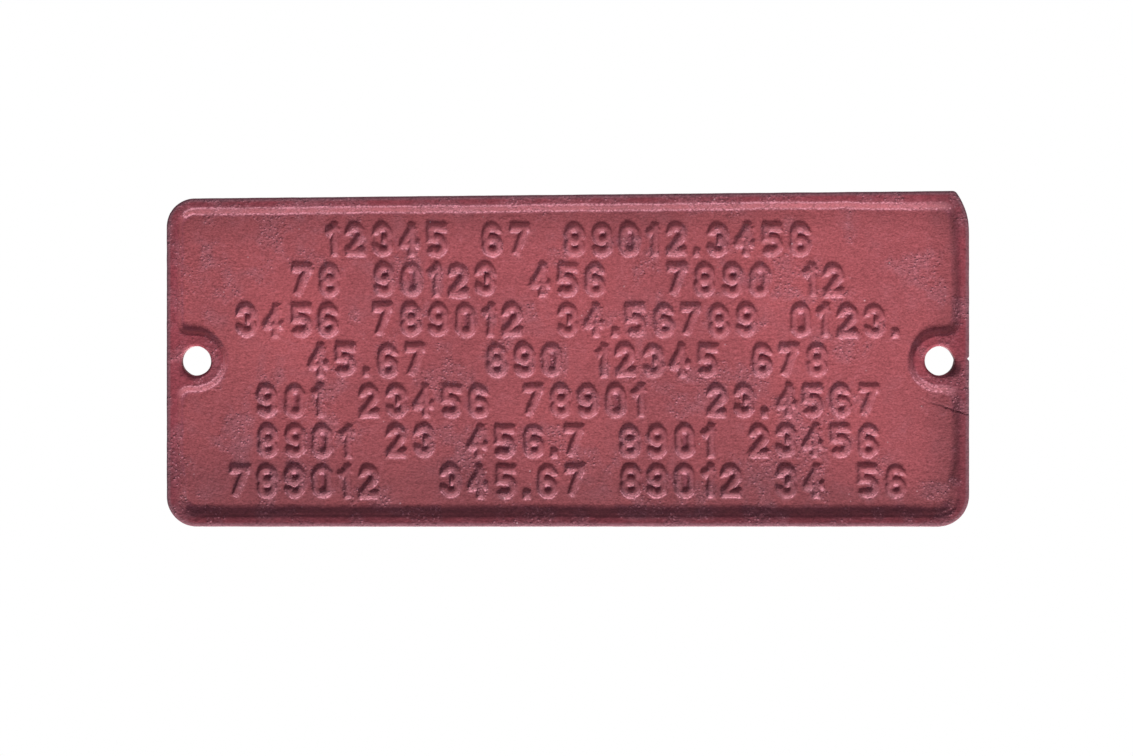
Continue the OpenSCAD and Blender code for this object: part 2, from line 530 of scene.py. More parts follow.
@dataclass
class Relief:
    """Height of the cast face above the back, in millimetres."""

    plate: PlateSizes
    numerals: Numerals
    wear: Wear = field(default_factory=Wear)

    def height(self, x: Field, z: Field) -> Field:
        """Height of the face at the given places."""
        plate, wear = self.plate, self.wear
        wobble = 0.15 * Grain(3, 9.0)(x, z) + 0.08 * Grain(4, 2.6)(x, z)
        softness = 0.22 + 0.04 * share(-z, 46, 56) + 0.2 * share(x, *wear.right_end)
        raised = self.rim_rise(x, z, wobble)
        for side in Side:
            inwards = np.minimum(side.value * x - plate.hole_x, 0)
            boss = 0.5 + (wear.boss_middle + wobble - np.hypot(inwards, z)) / wear.boss_slope
            raised = soft_max(raised, boss, wear.fillet)
        relief = plate.rim_height * soft_step(raised, softness)
        relief = relief - self.crown(x, z) * np.clip(raised, 0, 1)
        relief = np.maximum(relief, self.numeral_height(x, z))
        height = plate.web + relief + self.skin(x, z, relief) - self.damage(x, z)
        return np.minimum(height, plate.face - 0.01)

    def rim_rise(self, x: Field, z: Field, wobble: Field) -> Field:
        """How far the rim has risen: 0 at the foot of its slope and 1 at the crest."""
        wear = self.wear
        corner = wear.pattern_corner
        pattern = replace(self.plate, worn_radius=corner, tight_radius=corner)
        inset, _, _ = Outline(pattern, corner).inset(x, z)
        right, top, low = share(x, *wear.right_end), share(z, 36, 50), share(-z, 36, 50)
        middle = wear.rim_middle + wear.right_shift * right + wear.top_shift * top
        middle = middle + wear.bottom_shift * low + wear.top_drift * share(x, 90, 140) * top
        slope = wear.rim_slope + wear.bottom_widening * low
        slope = slope + (wear.left_slope - wear.rim_slope) * share(-x, 138, 146)
        return 0.5 + (middle + wobble - inset) / slope

    def crown(self, x: Field, z: Field) -> Field:
        """Depth to which the rim's top falls away from its middle line."""
        wear = self.wear
        inset, _, _ = Outline(self.plate, self.plate.tight_radius).inset(x, z)
        middle = wear.crown_middle
        rounded = wear.crown_drop * np.clip((inset - middle) / middle, -1, 1) ** 2
        tilt = wear.bottom_tilt * share(-z, 46, 54)
        return rounded + tilt * np.clip(inset - wear.tilt_start, 0, wear.tilt_width)

    def numeral_height(self, x: Field, z: Field) -> Field:
        """Height of the numerals above the web."""
        s, wear = self.numerals.sizes, self.wear
        chance = np.random.default_rng(11)
        height = np.zeros(x.shape)
        fade = 1 - wear.fade * (0.5 + 0.5 * Grain(21, 26.0)(x, z)) - 0.1 * np.abs(Grain(22, 4.2)(x, z))
        ragged = wear.ragged * (Grain(23, 1.9)(x, z) + 0.6 * Grain(24, 0.9)(x, z))
        for character, middle_x, middle_z in self.numerals.places(self.plate):
            turn = math.radians(chance.normal(0, wear.tilt))
            shift_x, shift_z = chance.normal(0, wear.shift, 2)
            soft = wear.soft * chance.uniform(0.8, 1.5)
            near = (np.abs(x - middle_x) < s.height / 2) & (np.abs(z - middle_z) < s.height * 0.62)
            strengths = chance.uniform(0.84, 1.04, len(self.numerals.strokes(character)))
            if not near.any():
                continue
            dx, dz = x[near] - middle_x - shift_x, z[near] - middle_z - shift_z
            local_x = dx * math.cos(turn) + dz * math.sin(turn)
            local_z = dz * math.cos(turn) - dx * math.sin(turn)
            tallest = np.zeros(dx.shape)
            for stroke, strength in zip(self.numerals.strokes(character), strengths):
                reach = stroke.reach(local_x, local_z, s.foot / 2) + ragged[near]
                flank = soft_step((wear.half_stroke - reach) / wear.flank, soft)
                roof = soft_rise(1 - np.maximum(reach, 0) / wear.half_stroke, 0.1)
                stroke_height = wear.rise * strength * (flank + wear.dome * roof)
                tallest = np.where(stroke_height > 0, soft_max(tallest, stroke_height, 0.4), tallest)
            height[near] = np.maximum(height[near], tallest)
        return height * fade

    def skin(self, x: Field, z: Field, relief: Field) -> Field:
        """Unevenness that the sand mould and old paint leave, a little stronger on the web."""
        broad = 0.07 * Grain(5, 21.0)(x, z) + 0.04 * Grain(6, 7.0)(x, z)
        fine = 0.03 * Grain(7, 2.3)(x, z) + 0.03 * Grain(8, 1.15)(x, z)
        burnt = self.roughness(x, z) * (0.035 * Grain(12, 1.3)(x, z) + 0.02 * Grain(13, 0.85)(x, z))
        top = np.clip(relief / self.plate.rim_height, 0, 1)
        return (broad - 0.12) * (0.45 + 0.55 * (1 - top)) + fine + 2.0 * burnt

    def roughness(self, x: Field, z: Field) -> Field:
        """Where the sand has burnt into the skin, from 0 to 1."""
        return share(Grain(9, 11.0)(x, z) + 0.5 * Grain(10, 4.0)(x, z), -0.05, 0.95)

    def edge_shade(self, x: Field, z: Field) -> Field:
        """How much painted shade darkens the plate's edge, from 0 to 1."""
        inset, _, _ = Outline(self.plate, self.plate.tight_radius).inset(x, z)
        return 1 - share(inset, 1.0, 1.9)

    def shade_dark(self, x: Field, z: Field) -> Field:
        """How much painted shade darkens the paint, from 0 to 1, over an uneven tone: most of it low down
        towards the bottom rim and just under the top rim.
        """
        near_top = 1 - share(self.plate.top_at(x) - z, 6, 24)
        low = 0.24 * share(-z, -12, 16) + 0.66 * share(-z, 20, 62) + 0.54 * share(-z, 42, 56)
        less_shade = share(x, 60, 110) - 1.8 * share(x, 132, 145) - 0.25 * share(-x, 118, 140)
        uneven = 0.14 + 0.2 * Grain(61, 30.0)(x, z)
        return np.clip(uneven + 0.5 * near_top + low - 0.35 * less_shade, 0, 1)

    def damage(self, x: Field, z: Field) -> Field:
        """Depth lost to pits and cracks, less what small lumps of sand add."""
        chance = np.random.default_rng(29)
        plate, wear = self.plate, self.wear
        lost = np.zeros(x.shape)
        for spots in (wear.pits, wear.lumps):
            for _ in range(spots.count):
                at_x = chance.uniform(-plate.half_width, plate.half_width)
                at_z = chance.uniform(-plate.drop, plate.drop)
                radius = chance.uniform(*spots.radii)
                depth = chance.uniform(*spots.depths)
                near = (np.abs(x - at_x) < 3 * radius) & (np.abs(z - at_z) < 3 * radius)
                if near.any():
                    square = (x[near] - at_x) ** 2 + (z[near] - at_z) ** 2
                    lost[near] += depth * np.exp(-square / radius**2)
        hairline_depth = wear.hairline_share * wear.crack_depth
        for path, depth in ((wear.crack, wear.crack_depth), (wear.hairline, hairline_depth)):
            deep = depth * (0.75 + 0.5 * Grain(33, 1.7)(x, z)) * (0.45 + 0.75 * share(x, 137, 150))
            lost = np.maximum(lost, deep * np.clip(1 - self.away(path, x, z) / wear.crack_width, 0, 1))
        pitted = share(0.55 * Grain(35, 1.3)(x, z) + 0.6 * Grain(36, 0.8)(x, z), 0.2, 0.7)
        (at_x, at_z), (reach_x, reach_z) = wear.crumbled_at, wear.crumbled_reach
        crumbled = np.exp(-(((x - at_x) / reach_x) ** 2) - ((z - at_z) / reach_z) ** 2)
        return lost + wear.crumbled_depth * pitted * crumbled

    def away(self, path: Line, x: Field, z: Field) -> Field:
        """Distance from a broken line."""
        runs = [Bar(start, end).reach(x, z, 0.0) for start, end in zip(path, path[1:])]
        return np.minimum.reduce(runs)


@dataclass(frozen=True)
class GridSizes:
    """Cell counts and sizes of the sheet, whose edge begins a set distance inside the outline."""

    edge: float = 1.0
    cell: float = 0.34
    drawn_in: Span = (133.0, 144.0)
    hole_half_cells: int = 30
    middle_cells: int = 768
    bottom_cells: int = 24
    row_cells: int = 45
    top_margin_cells: int = 8
    top_rim_cells: int = 19
    top_rim: float = 6.4
    hole_rows: tuple[int, int] = (126, 189)

    @property
    def end_cells(self) -> int:
        """Columns across one boss's square."""
        return 2 * self.hole_half_cells


class Sheet:
    """The plan of the whole face as rows and columns that follow the plate's edges."""

    def __init__(self, plate: PlateSizes, sizes: GridSizes) -> None:
        """Lays out the columns and rows and bends them to the outline."""
        self.plate = plate
        self.sizes = sizes
        self.field_top = plate.row_pitch * plate.rows / 2
        self.columns = self._columns()
        self.levels = self._levels()
        self.x, self.z = self._bent(*np.meshgrid(self.columns, self.levels))

    def _columns(self) -> Field:
        """Places of the columns before they are bent."""
        s, plate = self.sizes, self.plate
        outer = plate.half_width - s.edge
        inner = outer - 2 * (outer - plate.hole_x)
        left = np.linspace(-outer, -inner, s.end_cells + 1)
        middle = np.linspace(-inner, inner, s.middle_cells + 1)
        return np.concatenate([left, middle[1:], -left[::-1][1:]])

    def _levels(self) -> Field:
        """Places of the rows before they are bent, for the height of the left end."""
        s, plate = self.sizes, self.plate
        low, high = s.edge - plate.drop, plate.left_height - plate.drop - s.edge
        bottom = np.linspace(low, -self.field_top, s.bottom_cells + 1)
        rows = np.linspace(-self.field_top, self.field_top, s.row_cells * plate.rows + 1)
        margin = np.linspace(self.field_top, high - s.top_rim, s.top_margin_cells + 1)
        rim = np.linspace(high - s.top_rim, high, s.top_rim_cells + 1)
        return np.concatenate([bottom, rows[1:], margin[1:], rim[1:]])

    def _bent(self, u: Field, v: Field) -> tuple[Field, Field]:
        """Rounds the corners, slopes the top edge and draws in the worn right edge."""
        s, plate = self.sizes, self.plate
        half, low = plate.half_width, -plate.drop
        high = plate.left_height - plate.drop
        corners = [
            (-1, 1, plate.top_left_radius, high),
            (-1, -1, plate.bottom_left_radius, low),
            (1, -1, plate.bottom_right_radius, low),
        ]
        x, z = u.copy(), v.copy()
        for way_x, way_z, radius, edge_z in corners:
            centre_x = way_x * (half - radius)
            centre_z = edge_z - way_z * radius
            a, b = way_x * (u - centre_x), way_z * (v - centre_z)
            zone = (a > 0) & (b > 0)
            a, b = a[zone], b[zone]
            ring = np.maximum(a, b)
            angle = math.pi / 4 * np.minimum(a, b) / ring
            longer, shorter = ring * np.cos(angle), ring * np.sin(angle)
            x[zone] = centre_x + way_x * np.where(a >= b, longer, shorter)
            z[zone] = centre_z + way_z * np.where(a >= b, shorter, longer)
        lift = plate.top_at(x) - high
        margin = high - s.edge - s.top_rim - self.field_top
        z = z + lift * np.clip((z - self.field_top) / margin, 0, 1)
        x = x + (plate.right_at(z) - half) * share(x, *s.drawn_in)
        return self._settled(x, z)

    def _settled(self, x: Field, z: Field) -> tuple[Field, Field]:
        """Moves the outermost vertices exactly onto the line where the edge begins."""
        outline = Outline(self.plate, self.plate.tight_radius)
        border = np.zeros(x.shape, bool)
        border[[0, -1], :] = True
        border[:, [0, -1]] = True
        for _ in range(3):
            inset, out_x, out_z = outline.inset(x[border], z[border])
            x[border] += (inset - self.sizes.edge) * out_x
            z[border] += (inset - self.sizes.edge) * out_z
        return x, z

    def row_span(self, row: int) -> tuple[int, int]:
        """First and last level of one numeral row, counted from the top row as 1."""
        first = self.sizes.bottom_cells + (self.plate.rows - row) * self.sizes.row_cells
        return first, first + self.sizes.row_cells

    def hole_span(self) -> tuple[int, int]:
        """First and last level of the bosses' squares."""
        low, high = self.sizes.hole_rows
        return self.sizes.bottom_cells + low, self.sizes.bottom_cells + high


@dataclass
class Block:
    """A rectangle of sheet vertices with what each one carries."""

    places: Field
    normals: Field
    traits: dict[str, Field]
    skirts: dict[int, Skirt] = field(default_factory=dict)
    gaps: list[tuple[int, int, int, int]] = field(default_factory=list)

    @property
    def cells(self) -> tuple[int, int]:
        """Cells across and cells up."""
        return self.places.shape[1] - 1, self.places.shape[0] - 1


def surface_normals(places: Field) -> Field:
    """Unit normals of a grid of places, from its neighbours.

    Args:
        places: Places of shape (rows, columns, 3).

    Returns:
        Normals of the same shape, on the side from which columns run right and rows run up.
    """
    across = np.gradient(places, axis=1)
    up = np.gradient(places, axis=0)
    normals = np.cross(across, up)
    length = np.linalg.norm(normals, axis=2, keepdims=True)
    return normals / np.maximum(length, 1e-12)


def looped_normals(places: Field, shared: int) -> Field:
    """Unit normals of a grid whose columns run round in a loop.

    Args:
        places: Places of shape (rows, columns, 3).
        shared: 1 where the last column repeats the first one, and 0 where it doesn't.

    Returns:
        Normals of the same shape.
    """
    before, after = places[:, -1 - shared], places[:, shared]
    wrapped = np.concatenate([before[:, None], places, after[:, None]], axis=1)
    return surface_normals(wrapped)[:, 1:-1]


def border_of(shape: tuple[int, ...]) -> list[tuple[int, int]]:
    """The border vertices of a grid as row and column, anticlockwise."""
    last_j, last_i = shape[0] - 1, shape[1] - 1
    bottom = [(0, i) for i in range(last_i)]
    right = [(j, last_i) for j in range(last_j)]
    top = [(last_j, i) for i in range(last_i, 0, -1)]
    left = [(j, 0) for j in range(last_j, 0, -1)]
    return bottom + right + top + left


def round_rings(edge: float, start: Field, depth: float) -> list[Ring]:
    """Rings that turn outwards by edge while their height changes by depth."""
    return [(edge * math.sin(a), start + depth * (1 - math.cos(a))) for a in ROUND_TURNS]


def blurred(values: Field, cells: int) -> Field:
    """Values averaged over a square window that reaches the given number of cells each way."""
    width = 2 * cells + 1
    for axis in (0, 1):
        padding = [(0, 0), (0, 0)]
        padding[axis] = (cells + 1, cells)
        total = np.cumsum(np.pad(values, padding, mode="edge"), axis=axis)
        upper = np.take(total, range(width, total.shape[axis]), axis=axis)
        lower = np.take(total, range(0, total.shape[axis] - width), axis=axis)
        values = (upper - lower) / width
    return values


class CastFace:
    """The finished face: the sheet lifted to the relief, with its edge all round."""

    def __init__(self, plate: PlateSizes, relief: Relief, sheet: Sheet, seat: float) -> None:
        """Lifts the sheet, and hangs a rounded edge from its border down to the seat."""
        self.plate = plate
        self.relief = relief
        self.sheet = sheet
        self.seat = seat
        height = relief.height(sheet.x, sheet.z)
        self.places = np.stack([sheet.x, -height, sheet.z], axis=2)
        self.normals = surface_normals(self.places)
        self._mend_corners()
        self.traits = self._traits(height)
        self.skirts = self._skirts()

    def _mend_corners(self) -> None:
        """Takes the normal of each round corner's outermost vertex from its neighbour."""
        for j, i, dj, di in ((0, 0, 1, 1), (0, -1, 1, -2), (-1, 0, -2, 1), (-1, -1, -2, -2)):
            self.normals[j, i] = self.normals[dj, di]

    def _traits(self, height: Field) -> dict[str, Field]:
        """What steers the wear of the paint and where painted light and shade go, each from 0 to 1."""
        x, z = self.sheet.x, self.sheet.z
        plate = self.plate
        cell = self.sheet.sizes.cell
        sharp = 0.11
        bend = height - blurred(blurred(height, 1), 1)
        slope_x, slope_z = np.gradient(height, axis=1), np.gradient(height, axis=0)
        wide_bend = height - blurred(blurred(height, 6), 6)
        around = share(blurred(np.clip(height - plate.web, 0, 1.0), 5), 0.08, 0.4)
        # slopes facing down, towards the key lamp
        under = np.clip(2.2 * blurred(slope_z, 2) / cell, 0, 1)
        # slopes facing the key lamp get painted highlights on their crest and foot lines
        lit = 0.15 + 0.85 * under
        # the bottom rim's upward slope, which lies in shadow
        bottom_ledge_shade = share(-z, 48, 54) * np.clip(-2.0 * slope_z / cell - 0.25, 0, 1)
        # slopes turned away from the key lamp: fully on the right, less on the left
        lamp_away_side = np.clip(np.maximum(slope_x, -0.4 * slope_x) / cell, 0, 1)
        crusted = around * share(Grain(14, 6.0)(x, z), -0.2, 0.6)
        cleft = np.clip(1.25 - self.relief.away(self.relief.wear.crack, x, z) / 0.4, 0, 1)
        return {
            # crest lines, where rubbing and painted highlights go; foot lines, where painted highlights go
            "crest": np.clip(bend / sharp, 0, 1) * lit,
            "hollow": np.clip(-bend / sharp, 0, 1) * lit,
            "under": under,
            # painted shade on slopes turned away from the lamp
            "slope_shade": np.maximum(lamp_away_side, bottom_ledge_shade),
            # painted shade in wide hollows such as the numerals' counters, and on the bottom rim's upward
            # slope
            "hollow_and_ledge_shade": np.clip(0.6 * bottom_ledge_shade - wide_bend / 0.8, 0, 1),
            "relief": np.clip((height - plate.web) / plate.rim_height, 0, 1),
            # painted shade on the outer edge and its walls
            "edge": self.relief.edge_shade(x, z),
            # broad painted shade, strongest low down and under the top rim
            "shade_dark": self.relief.shade_dark(x, z),
            "burnt": np.clip(self.relief.roughness(x, z) + crusted, 0, 1),
            # painted shade: near black along the crack, and on the bottom rim's upward slope
            "painted_shade": np.maximum(0.75 * cleft * share(x, 135, 141), 0.45 * bottom_ledge_shade),
        }

    def _skirts(self) -> dict[tuple[int, int], Skirt]:
        """Rings of the rounded front edge and the outer wall, for each border vertex."""
        border = border_of(self.sheet.x.shape)
        starts = np.array([self.places[j, i] for j, i in border])
        edge = self.sheet.sizes.edge
        front = -starts[:, 1]
        wall_top = front - edge
        rings = round_rings(edge, front, -edge)
        rings += [(edge, wall_top + (self.seat - wall_top) * down) for down in WALL_SHARES]
        return hung_skirt(border, starts, rings, self.plate)

    def block(self, levels: tuple[int, int], columns: tuple[int, int]) -> Block:
        """A rectangle of the face.

        Args:
            levels: First and last level, both included.
            columns: First and last column, both included.

        Returns:
            The block, with skirts where it touches the sheet's border.
        """
        rows = slice(levels[0], levels[1] + 1)
        across = slice(columns[0], columns[1] + 1)
        width = columns[1] - columns[0] + 1
        skirts = {}
        for (j, i), skirt in self.skirts.items():
            if levels[0] <= j <= levels[1] and columns[0] <= i <= columns[1]:
                skirts[(j - levels[0]) * width + i - columns[0]] = skirt
        traits = {name: values[rows, across] for name, values in self.traits.items()}
        return Block(self.places[rows, across], self.normals[rows, across], traits, skirts)


def hung_skirt(
    border: list[tuple[int, int]],
    starts: Field,
    rings: list[Ring],
    plate: PlateSizes,
) -> dict[tuple[int, int], Skirt]:
    """Hangs rings from a border that runs round the plate.

    Args:
        border: Level and column of each border vertex.
        starts: Its place.
        rings: Distance outwards and height above the back, for each ring.
        plate: Sizes of the plate.

    Returns:
        For each border vertex, the places and the normals of its rings.
    """
    outline = Outline(plate, plate.tight_radius, math.radians(0.5))
    _, out_x, out_z = outline.inset(starts[:, 0], starts[:, 2])
    kernel = np.ones(5) / 5
    for values in (out_x, out_z):
        values[:] = np.convolve(np.concatenate([values[-2:], values, values[:2]]), kernel, "valid")
    length = np.hypot(out_x, out_z)
    out_x, out_z = out_x / length, out_z / length
    along = starts[:, 0] + 1.7 * starts[:, 2]
    nick_depth, nick_z, nick_width = 0.75, 0.75, 0.45
    near_nick = np.exp(-(((starts[:, 2] - nick_z) / nick_width) ** 2))
    nick = nick_depth * near_nick * (starts[:, 0] > 0)
    lines = [starts]
    for number, (outwards, height) in enumerate(rings, start=1):
        uneven = float(number < len(rings))
        rough = 0.04 * (uneven * Grain(31, 6.0)(along, height * 1.4) - 1)
        rough = rough + 0.02 * (uneven * Grain(32, 1.5)(along, height * 1.2) - 1)
        step = outwards + (rough - nick) * min(1.0, outwards)
        lines.append(np.stack([starts[:, 0] + step * out_x, -height, starts[:, 2] + step * out_z], axis=1))
    grid = np.array(lines)
    normals = -looped_normals(grid, 0)
    outward = np.stack([out_x, 0 * out_x, out_z], axis=1)
    flip = np.sign(np.sum(normals[-1] * outward, axis=1))
    normals *= np.where(flip < 0, -1, 1)[None, :, None]
    return {vertex: (grid[1:, k], normals[1:, k]) for k, vertex in enumerate(border)}


@dataclass(frozen=True)
class Mouth:
    """How one hole's mouth is rounded, chipped and blunted, with the chip's angles in degrees."""

    radius: float
    chip_angle: float
    chip_spread: float
    chip_size: float
    blunt: float


MOUTHS = {
    Side.LEFT: Mouth(1.15, -122, 50, 0.45, 0.0),
    Side.RIGHT: Mouth(1.35, -33, 31, 1.0, 0.35),
}


@dataclass
class BoltEye:
    """The square of plate round one bolt hole, as rings from the square in to the bore."""

    side: Side
    sheet: Sheet
    stride: int = 1
    rings: int = 26
    chip_width: float = 1.35
    chip_depth: float = 1.1
    front_heights: Span = (4.9, 4.0)

    @property
    def mouth(self) -> Mouth:
        """Shape and wear of this hole's mouth."""
        return MOUTHS[self.side]

    def edge(self) -> list[tuple[int, int]]:
        """The square's border vertices as level and column, anticlockwise and closed."""
        low, high = self.sheet.hole_span()
        width = self.sheet.sizes.end_cells
        last = self.sheet.x.shape[1] - 1
        left, right = (0, width) if self.side is Side.LEFT else (last - width, last)
        step = self.stride
        bottom = [(low, i) for i in range(left, right, step)]
        east = [(j, right) for j in range(low, high, step)]
        top = [(high, i) for i in range(right, left, -step)]
        west = [(j, left) for j in range(high, low, -step)]
        return bottom + east + top + west + bottom[:1]

    def chip(self, angle: Field) -> Field:
        """How far the hole's mouth is worn or broken away, from 0 to 1, by direction."""
        mouth = self.mouth
        turned = (angle - math.radians(mouth.chip_angle)) / math.radians(mouth.chip_spread)
        return mouth.chip_size * np.exp(-np.abs(turned) ** 2.6)

    def bore(self, angle: Field) -> Field:
        """Radius of the cast bore by direction."""
        plate = self.sheet.plate
        round_x, round_z = 9 * np.cos(angle), 9 * np.sin(angle)
        rough = 0.09 + 0.12 * Grain(41 + self.side.value, 5.0)(round_x, round_z)
        blunt = self.mouth.blunt * np.exp(-(((angle - 0.1) / 0.22) ** 2))
        return plate.hole_radius + rough + blunt

    def plan(self) -> tuple[Field, Field, Field]:
        """Places x and z of every ring vertex, and the direction of each spoke."""
        middle = self.side.value * self.sheet.plate.hole_x
        levels, columns = zip(*self.edge())
        edge_x, edge_z = self.sheet.x[levels, columns], self.sheet.z[levels, columns]
        angle = np.arctan2(edge_z, edge_x - middle)
        outer = np.hypot(edge_x - middle, edge_z)
        inner = self.bore(angle) + self.mouth.radius + self.chip_width * self.chip(angle)
        inwards = np.linspace(0, 1, self.rings + 1)[:, None]
        radius = outer * (1 - inwards) + inner * inwards
        x, z = middle + radius * np.cos(angle), radius * np.sin(angle)
        x[0], z[0] = edge_x, edge_z
        return x, z, angle

    def wall(self, places: Field, angle: Field, heights: list[float], mouth: float) -> Skirt:
        """Rings of the rounded mouth and of the bore's wall.

        Args:
            places: Places of the innermost ring of the sheet.
            angle: Direction of each spoke.
            heights: Heights of the wall's rings above the back.
            mouth: Depth of the mouth's rounding, below zero where the mouth opens backwards.

        Returns:
            Places and normals of the rings, each of shape (rings, spokes, 3).
        """
        middle = self.side.value * self.sheet.plate.hole_x
        start_radius = np.hypot(places[:, 0] - middle, places[:, 2])
        start_height = -places[:, 1]
        chip = self.chip(angle) if mouth > 0 else 0 * angle
        depth = mouth + self.chip_depth * chip
        wall = self.bore(angle)
        lines = [places]
        for turn in ROUND_TURNS:
            radius = start_radius + (wall - start_radius) * math.sin(turn)
            height = start_height - depth * (1 - math.cos(turn))
            lines.append(np.stack([middle + radius * np.cos(angle), -height, radius * np.sin(angle)], axis=1))
        for height in heights:
            rough = 0.07 * Grain(45, 1.8)(9 * angle, 0 * angle + height * 1.3) * (height != heights[-1])
            radius = wall + rough
            line = [middle + radius * np.cos(angle), 0 * angle - height, radius * np.sin(angle)]
            lines.append(np.stack(line, axis=1))
        grid = np.array(lines)
        normals = looped_normals(grid, 1)
        outward = np.stack([np.cos(angle), 0 * angle, np.sin(angle)], axis=1)
        if np.sum(normals[-1] * outward) > 0:
            normals = -normals
        return grid[1:], normals[1:]

    def painted_shade(self, angle: Field, reach: int) -> Field:
        """Painted shade in the broken mouth, which faces away from the lamp, over the given number of rings.
        """
        close = share(np.arange(self.rings + 1), self.rings - reach, self.rings)[:, None]
        return close * self.chip(angle)

    def ringed(
        self,
        skin: Skin,
        angle: Field,
        heights: list[float],
        mouth: float,
        edges: dict[tuple[int, int], Skirt],
    ) -> Block:
        """A block of rings round the hole, with the bore's wall and the plate's edge.

        Args:
            skin: Places, normals and traits of the rings.
            angle: Direction of each spoke.
            heights: Heights of the wall's rings above the back.
            mouth: Depth of the mouth's rounding, as for wall.
            edges: Skirts of the plate's border, by row and column of the strided sheet.

        Returns:
            The block.
        """
        places, normals, traits = skin
        rings, ring_normals = self.wall(places[-1], angle, heights, mouth)
        spokes = places.shape[1]
        first = self.rings * spokes
        skirts = {first + k: (rings[:, k], ring_normals[:, k]) for k in range(spokes)}
        for k, (j, i) in enumerate(self.edge()):
            vertex = (j // self.stride, i // self.stride)
            if vertex in edges:
                skirts[k] = edges[vertex]
        return Block(places, normals, traits, skirts)

    def block(self, face: CastFace) -> Block:
        """The square of the face, with the bore's wall as its skirt."""
        x, z, angle = self.plan()
        height = face.relief.height(x, z)
        places = np.stack([x, -height, z], axis=2)
        levels, columns = zip(*self.edge())
        places[0] = face.places[levels, columns]
        normals = looped_normals(places, 1)
        normals[0] = face.normals[levels, columns]
        traits = {name: self._sampled(values, x, z) for name, values in face.traits.items()}
        # painted shade in the chipped mouth of the hole
        traits["painted_shade"] = np.maximum(traits["painted_shade"], self.painted_shade(angle, 5))
        heights = [*self.front_heights, face.seat]
        skin = (places, normals, traits)
        return self.ringed(skin, angle, heights, self.mouth.radius, face.skirts)

    def _sampled(self, values: Field, x: Field, z: Field) -> Field:
        """Values of the sheet at the ring vertices, from the cells they lie in."""
        i = np.clip(np.searchsorted(self.sheet.columns, x) - 1, 0, len(self.sheet.columns) - 2)
        j = np.clip(np.searchsorted(self.sheet.levels, z) - 1, 0, len(self.sheet.levels) - 2)
        u = (x - self.sheet.columns[i]) / (self.sheet.columns[i + 1] - self.sheet.columns[i])
        v = (z - self.sheet.levels[j]) / (self.sheet.levels[j + 1] - self.sheet.levels[j])
        u, v = np.clip(u, 0, 1), np.clip(v, 0, 1)
        low = values[j, i] * (1 - u) + values[j, i + 1] * u
        high = values[j + 1, i] * (1 - u) + values[j + 1, i + 1] * u
        return low * (1 - v) + high * v


